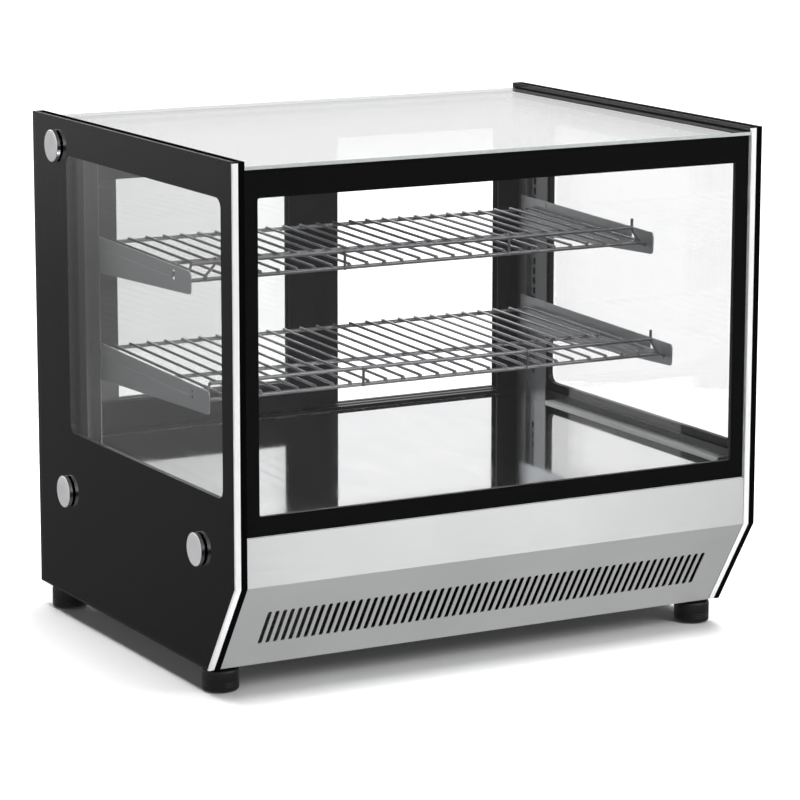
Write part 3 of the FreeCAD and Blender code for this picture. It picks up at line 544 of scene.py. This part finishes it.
def hexagon(build, base, axis, across_flats, length, edge=1.0):
    """A hexagon nut or head whose corners are turned away at both ends."""
    corner = across_flats / math.sqrt(3.0)
    build.turned(base, axis, [(corner - edge, 0.0), (corner, 0.5 * edge), (corner, length - 0.5 * edge),
                              (corner - edge, length)], 6)


def make_foot(row, side, x, depth):
    """Turned rubber pad with a ribbed side, and its hexagon and threaded stud."""
    body = row + "_" + side + "_foot"
    pad = Build()
    profile = [(0.0, 0.0), (19.0, 0.0), (20.6, 0.5), (21.6, 1.6), (22.0, 3.2)]
    for groove in (7.0, 9.5, 12.0):
        profile += [(22.0, groove - 0.6), (21.5, groove), (22.0, groove + 0.6)]
    profile += [(22.0, 23.4), (21.6, 24.9), (20.6, 26.0), (19.0, 26.5)]
    profile += [(12.0, 26.5), (11.4, 25.6), (0.0, 25.6)]
    pad.turned(spot(x, depth, -FEET_HEIGHT), Vector((0, 0, 1)), profile, 64)
    pad.finish("pad_" + body, "foot_rubber", body, ["foot_" + row + "_" + side])
    stud = Build()
    hexagon(stud, spot(x, depth, -4.4), Vector((0, 0, 1)), 17.0, 4.1)
    thread = [(3.4, 0.0)]
    for turn in range(14):
        thread += [(4.0, 0.35 + turn), (3.45, 0.85 + turn)]
    stud.turned(spot(x, depth, -0.4), Vector((0, 0, 1)), thread, 24)
    stud.finish("stud_" + body, "screw_steel", body, sharp=25.0)


for foot_row, foot_depth in FOOT_DEPTHS.items():
    for foot_side, foot_x in (("left", -FOOT_X), ("right", FOOT_X)):
        make_foot(foot_row, foot_side, foot_x, foot_depth)


# ---------------------------------------------------------------- clamp caps
CAP_BASE_X = 355.0
CAP_PLACES = ((494.0, 566.0), (474.0, 134.0), (96.0, 141.0))


def make_caps():
    """Turned clamp caps: a black washer, a polished rim and a satin face with fine rings."""
    caps = Build()
    rims = Build()
    washers = Build()
    for depth, height in CAP_PLACES:
        for side in (-1, 1):
            base = spot(side * CAP_BASE_X, depth, height)
            axis = Vector((side, 0, 0))
            washers.turned(base, axis, [(18.6, 0.0), (18.6, 1.3), (3.0, 1.3)], 64)
            rims.turned(base, axis, [(18.8, 1.2), (19.6, 1.4), (20.0, 1.9), (20.0, 6.0), (19.4, 6.2)], 96)
            profile = [(19.4, 6.1), (19.2, 6.5), (18.8, 6.7)]
            profile += [(18.4 - 0.9 * k, 6.74 + (0.03 if k % 2 else 0.0)) for k in range(20)]
            caps.turned(base, axis, profile + [(0.4, 6.76)], 96)
    caps.finish("clamp_caps", "satin_cap", "cabinet", ["panel_caps"], sharp=30.0)
    rims.finish("clamp_rims", "mirror_stainless", "cabinet", sharp=30.0)
    washers.finish("clamp_washers", "black_seal", "cabinet")


make_caps()


# ---------------------------------------------------------------- controls at the back
REAR = Vector((0, 1, 0))
PANEL = 545.0
CONTROL_HEIGHT = 95.0
KNOB_X = 120.0
POWER_SWITCH_X = 190.0
LIGHT_SWITCH_X = 236.0
SCREW_PLACES = [(x, height) for x in (-325.0, -110.0, 110.0, 325.0) for height in (14.0, 172.0)]
GLAND_X = -250.0
GLAND_HEIGHT = 45.0


def make_knob():
    """Thermostat knob with a fluted skirt, a grip bar and a pointer, over a dial with ticks."""
    centre = spot(KNOB_X, PANEL, CONTROL_HEIGHT)
    knob = Build()
    knob.turned(centre, REAR, [(18.4, 1.0), (19.0, 1.4), (19.0, 2.6), (17.2, 3.4), (16.4, 9.0), (15.6, 12.8),
                               (14.2, 14.0), (6.0, 14.4), (0.0, 14.4)], 48)
    for number in range(24):
        angle = 2 * math.pi * number / 24
        out = Vector((math.cos(angle), 0, math.sin(angle)))
        knob.wire([centre + out * 17.0 * MM + REAR * 3.6 * MM, centre + out * 15.7 * MM + REAR * 12.0 * MM],
                  0.7 * MM, 6)
    grip = [spot(KNOB_X + dx, PANEL + 12.0, CONTROL_HEIGHT + dz)
            for dx, dz in ((-3.0, -13.0), (3.0, -13.0), (3.6, 0.0), (2.6, 13.5), (-2.6, 13.5), (-3.6, 0.0))]
    knob.plate(grip, REAR * 6.0 * MM)
    knob.finish("knob_with_grip", "black_plastic", "knob", ["thermostat_knob"], bevel=0.5)
    pointer = Build()
    tip = [spot(KNOB_X + dx, PANEL + 17.7, CONTROL_HEIGHT + dz)
           for dx, dz in ((-0.7, 3.0), (0.7, 3.0), (0.7, 13.0), (-0.7, 13.0))]
    pointer.plate(tip, REAR * 0.35 * MM)
    pointer.finish("knob_pointer", "terminal_white", "knob")
    dial = Build()
    dial.turned(centre, REAR, [(19.6, 0.1), (25.0, 0.1), (25.2, 0.5), (24.8, 0.8), (20.0, 0.8), (19.4, 0.5)],
                72)
    dial.finish("dial_ring", "satin_stainless", "cabinet")
    ticks = Build()
    for number in range(11):
        angle = math.radians(90.0 - 30.0 * number)
        out = Vector((math.cos(angle), 0, math.sin(angle)))
        ticks.wire([centre + out * 21.0 * MM + REAR * 0.75 * MM, centre + out * 24.0 * MM + REAR * 0.75 * MM],
                   0.35 * MM, 6)
    ticks.finish("dial_ticks", "black_plastic", "cabinet")


make_knob()


def make_rocker(node, slot, body, x):
    """A dished rocker with rounded edges and a small raised line at its upper end."""
    outline = []
    for depth, height in ((-3.2, -2.4), (-3.2, 2.4), (0.2, 11.9), (3.0, 11.3), (2.5, 6.0), (2.2, 0.0),
                          (2.5, -6.0), (3.0, -11.3), (0.2, -11.9)):
        outline.append(spot(x - 6.4, PANEL + depth, CONTROL_HEIGHT + height))
    build = Build()
    build.plate(outline, Vector((12.8 * MM, 0, 0)))
    build.wire([spot(x, PANEL + 2.75, CONTROL_HEIGHT + 5.0), spot(x, PANEL + 2.85, CONTROL_HEIGHT + 8.6)],
               0.4 * MM, 8)
    off = turned_about(spot(x, PANEL - 1.0, CONTROL_HEIGHT), -8.0)
    build.finish(body + "_paddle", slot, body, [node], off, bevel=0.35)


make_rocker("power_rocker", "rocker_red", "power_switch_rocker", POWER_SWITCH_X)
make_rocker("light_rocker", "rocker_black", "light_switch_rocker", LIGHT_SWITCH_X)


def make_panel_screws():
    """Pan-head screws round the service panel, their cross recess shown as painted shade: dark bars on each
    head.
    """
    heads = Build()
    recess_shade_bars = Build()
    head = [(1.5, -8.0), (1.5, 0.0), (3.9, 0.0), (4.0, 0.5), (3.5, 1.4), (2.4, 1.9), (0.0, 2.0)]
    for x, height in SCREW_PLACES:
        base = spot(x, PANEL, height)
        heads.turned(base, REAR, head, 28)
        turn = 37.0 * x + height
        for quarter in (0.0, 90.0):
            angle = math.radians(turn + quarter)
            out = Vector((math.cos(angle), 0, math.sin(angle)))
            # Dark bars raised on the head, not cut in: painted shade of the cross recess.
            recess = [base + out * along * MM + REAR * rise * MM
                      for along, rise in ((-2.0, 1.75), (-1.0, 2.0), (1.0, 2.0), (2.0, 1.75))]
            recess_shade_bars.wire(recess, 0.32 * MM, 4)
    heads.finish("panel_screw_heads", "screw_steel", "cabinet", ["rear_panel_screws"])
    recess_shade_bars.finish("panel_screw_recess_shade", "stop_rubber", "cabinet")


make_panel_screws()


def make_gland():
    """Cable gland with hexagons, a ribbed dome and an open bore."""
    centre = spot(GLAND_X, PANEL, GLAND_HEIGHT)
    build = Build()
    hexagon(build, spot(GLAND_X, PANEL - 5.2, GLAND_HEIGHT), REAR, 21.0, 4.0)
    hexagon(build, centre, REAR, 21.0, 6.0)
    thread = [(4.2, -12.0)]
    for turn in range(6):
        thread += [(7.8, -11.8 + turn), (7.3, -11.3 + turn)]
    build.turned(centre, REAR, thread + [(4.2, -5.6)], 32)
    dome = [(4.2, 5.8), (9.4, 6.0), (9.4, 9.5), (8.8, 13.0), (7.2, 16.4), (5.4, 17.0), (4.3, 16.8)]
    build.turned(centre, REAR, dome + [(4.2, 6.0)], 48)
    for number in range(12):
        angle = 2 * math.pi * number / 12
        out = Vector((math.cos(angle), 0, math.sin(angle)))
        build.wire([centre + out * 9.3 * MM + REAR * 6.5 * MM, centre + out * 8.5 * MM + REAR * 13.6 * MM],
                   0.6 * MM, 6)
    build.finish("ribbed_gland", "black_plastic", "cabinet", ["cable_gland"])


make_gland()


# ---------------------------------------------------------------- seals
# The glass of a door: its edges from the door's own left edge, and its foot and head.
DOOR_GLASS_X = (44.0, 317.0)
DOOR_GLASS_HEIGHTS = (227.6, 516.0)


def door_gasket(side, body, left, front):
    """Rubber beads round the glass of a door, on both faces."""
    build = Build()
    x0, x1 = (left + edge for edge in DOOR_GLASS_X)
    h0, h1 = DOOR_GLASS_HEIGHTS
    for depth in (front + 0.9, front + 11.1):
        corners = [spot(x0 + 20, depth, h0), spot(x1, depth, h0), spot(x1, depth, h1), spot(x0, depth, h1),
                   spot(x0, depth, h0), spot(x0 + 19, depth, h0)]
        build.wire(eased(corners, 2.5 * MM), 1.1 * MM, 8)
    build.finish("gasket_door_" + side, "stop_rubber", body)


door_gasket("left", "door_left", left=-331.0, front=531.0)
door_gasket("right", "door_right", left=-296.0, front=546.0)


def make_glass_seals():
    """Silicone beads where the top glass meets the side units and the front glass."""
    build = Build()
    for side in (-1, 1):
        build.wire([spot(side * 339.2, 3.0, 595.8), spot(side * 339.2, 556.0, 595.8)], 1.3 * MM, 8)
        build.wire([spot(side * 338.6, 13.0, 212.0), spot(side * 338.6, 13.0, 580.0)], 1.6 * MM, 8)
    build.finish("glass_seals", "black_seal", "cabinet")


make_glass_seals()


# ---------------------------------------------------------------- camera
CAMERA_PLACE = Vector((-2.0603, -3.7632, 1.1382))
CAMERA_AZIMUTH = math.radians(-28.852)
CAMERA_ELEVATION = math.radians(11.31)
CAMERA_ROLL = math.radians(0.078)
CAMERA_LENS = 158.2


def make_camera():
    """A long lens at the azimuth and elevation of the product view."""
    data = bpy.data.cameras.new("camera")
    data.lens = CAMERA_LENS
    data.sensor_width = 36.0
    data.clip_end = 50.0
    camera = bpy.data.objects.new("camera", data)
    bpy.context.scene.collection.objects.link(camera)
    level = math.cos(CAMERA_ELEVATION)
    back = Vector((math.sin(CAMERA_AZIMUTH) * level, -math.cos(CAMERA_AZIMUTH) * level,
                   math.sin(CAMERA_ELEVATION)))
    right = Vector((0.0, 0.0, 1.0)).cross(back).normalized()
    up = back.cross(right)
    turn = Matrix((right, up, back)).transposed() @ Matrix.Rotation(CAMERA_ROLL, 3, "Z")
    camera.matrix_world = Matrix.Translation(CAMERA_PLACE) @ turn.to_4x4()
    bpy.context.scene.camera = camera


make_camera()


# ---------------------------------------------------------------- studio
# What the studio shows in reflections, from straight down (0) to straight up (1).
REAR_TONES = ((0.0, 0.5), (0.22, 0.3), (0.365, 0.13), (0.42, 0.22), (0.46, 0.48), (0.53, 1.08), (0.6, 1.17),
              (0.75, 0.8), (1.0, 0.45))
FRONT_TONES = ((0.0, 0.6), (0.2, 0.5), (0.3, 0.11), (0.45, 0.11), (0.5, 0.3), (0.56, 0.9), (0.66, 1.4),
               (0.8, 0.9), (1.0, 0.45))
# Strength of the plain surround as the camera sees it, and as soft fill on matt surfaces.
SEEN = 1.65
FILL = 0.06


def area_light(name, place, target, width, height, power, tint=(1.0, 1.0, 1.0)):
    """Rectangular soft light aimed at a target point."""
    data = bpy.data.lights.new(name, "AREA")
    data.shape = "RECTANGLE"
    data.size = width
    data.size_y = height
    data.energy = power
    data.color = tint
    light = bpy.data.objects.new(name, data)
    bpy.context.scene.collection.objects.link(light)
    light.location = place
    aim = Vector(target) - Vector(place)
    light.rotation_euler = aim.to_track_quat("-Z", "Y").to_euler()
    return light


def make_world():
    """Plain white behind the object, and a soft grey room for light and reflections."""
    world = bpy.data.worlds.new("studio")
    bpy.context.scene.world = world
    world.use_nodes = True
    tree = world.node_tree
    tree.nodes.clear()

    def node(kind, **settings):
        made = tree.nodes.new(kind)
        for key, value in settings.items():
            setattr(made, key, value)
        return made

    def mapped(source, low, high):
        made = node("ShaderNodeMapRange")
        made.inputs["From Min"].default_value = low
        made.inputs["From Max"].default_value = high
        tree.links.new(source, made.inputs["Value"])
        return made.outputs["Result"]

    def ramp(tones, source):
        made = node("ShaderNodeValToRGB")
        while len(made.color_ramp.elements) < len(tones):
            made.color_ramp.elements.new(0.5)
        for element, (place, tone) in zip(made.color_ramp.elements, tones):
            element.position = place
            element.color = (tone, tone, tone, 1.0)
        tree.links.new(source, made.inputs["Fac"])
        return made.outputs["Color"]

    direction = node("ShaderNodeSeparateXYZ")
    tree.links.new(node("ShaderNodeTexCoord").outputs["Generated"], direction.inputs["Vector"])
    height = mapped(direction.outputs["Z"], -1.0, 1.0)
    room_tone = node("ShaderNodeMix", data_type="RGBA")
    tree.links.new(mapped(direction.outputs["Y"], -0.3, 0.3), room_tone.inputs["Factor"])
    tree.links.new(ramp(FRONT_TONES, height), room_tone.inputs["A"])
    tree.links.new(ramp(REAR_TONES, height), room_tone.inputs["B"])
    room = node("ShaderNodeBackground")
    tree.links.new(room_tone.outputs["Result"], room.inputs["Color"])
    paths = node("ShaderNodeLightPath")
    surface = room
    for strength, kind in ((FILL, "Is Diffuse Ray"), (SEEN, "Is Camera Ray")):
        plain = node("ShaderNodeBackground")
        plain.inputs["Color"].default_value = (1.0, 1.0, 1.0, 1.0)
        plain.inputs["Strength"].default_value = strength
        mix = node("ShaderNodeMixShader")
        tree.links.new(paths.outputs[kind], mix.inputs["Fac"])
        tree.links.new(surface.outputs[0], mix.inputs[1])
        tree.links.new(plain.outputs[0], mix.inputs[2])
        surface = mix
    tree.links.new(surface.outputs[0], node("ShaderNodeOutputWorld").inputs["Surface"])


def make_floor():
    """A pale round floor that fades into the white surround; polished parts don't mirror it."""
    mesh = bpy.data.meshes.new("floor")
    builder = bmesh.new()
    bmesh.ops.create_circle(builder, cap_ends=True, radius=1.6, segments=96)
    builder.to_mesh(mesh)
    builder.free()
    floor = bpy.data.objects.new("floor", mesh)
    bpy.context.scene.collection.objects.link(floor)
    floor.location = (0.0, 0.0, -0.0005)
    floor.visible_glossy = False
    shader = Shader("floor")
    grain = shader.noise(40.0, 2.0)
    shader.drive("Base Color", shader.blend(grain, (0.94, 0.94, 0.94), (0.96, 0.96, 0.96)))
    shader.set(Roughness=0.9, Specular_IOR_Level=0.1)
    mesh.materials.append(shader.material)


def make_studio():
    scene = bpy.context.scene
    scene.view_settings.view_transform = "Standard"
    scene.cycles.transparent_max_bounces = 32
    make_world()
    make_floor()
    overhead = area_light("overhead", (0.2, -0.1, 2.6), (0.2, -0.1, 0.3), width=2.4, height=2.4, power=175.0)
    overhead.visible_glossy = False
    area_light("front_right", (1.35, -2.4, 2.0), (0.2, -0.28, 0.25), width=1.0, height=1.7, power=36.0)
    area_light("rear", (0.4, 2.4, 1.8), (0.0, 0.0, 0.3), width=2.2, height=1.4, power=30.0)


make_studio()
